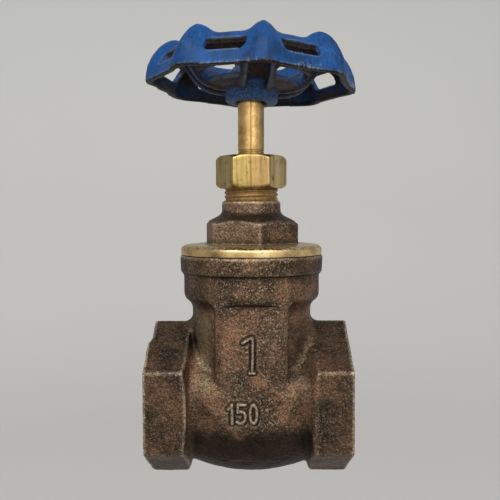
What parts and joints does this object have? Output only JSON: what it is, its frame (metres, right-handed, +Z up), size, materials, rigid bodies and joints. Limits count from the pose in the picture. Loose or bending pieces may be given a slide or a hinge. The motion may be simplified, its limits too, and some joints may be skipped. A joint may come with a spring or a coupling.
{
  "type": "screwed gate valve",
  "caption": "Small bronze gate valve with hexagonal threaded ends, a screwed bonnet, a packing nut and a lobed blue handwheel that lifts the wedge gate.",
  "frame": {"origin": "middle of the inlet end face, on the axis of the waterway", "axes": "+X along the waterway from the inlet to the outlet, +Z up along the stem to the handwheel, -Y towards the front, where the size number stands"},
  "size_m": [0.0598, 0.0598, 0.1241],
  "materials": {
    "cast_bronze": "sand-cast and browned",
    "gate_bronze": "machined",
    "turned_brass": "machined",
    "graphite_packing": "pressed graphite fibre",
    "wheel_paint": "gloss enamel, worn",
    "zinc_steel": "zinc-plated"
  },
  "bodies": {
    "valve_body": {"body": "cast_bronze", "bonnet": "cast_bronze", "packing": "graphite_packing", "gland": "turned_brass", "packing_nut": "turned_brass"},
    "spindle": {"stem": "turned_brass", "handwheel": "wheel_paint", "washer": "zinc_steel", "wheel_nut": "zinc_steel"},
    "wedge": {"gate": "gate_bronze"}
  },
  "joints": [
    {"name": "handwheel_turn", "type": "hinge", "parent": "valve_body", "child": "spindle", "pos_m": [0.0288, 0, 0.0885], "axis": [0, 0, 1], "range_deg": [0, 3015]},
    {"name": "gate_lift", "type": "slide", "parent": "valve_body", "child": "wedge", "axis": [0, 0, 1], "range_m": [0, 0.02681]}
  ],
  "couplings": [
    {"joint": "gate_lift", "follows": "handwheel_turn", "m_per_rad": 0.0005093}
  ]
}
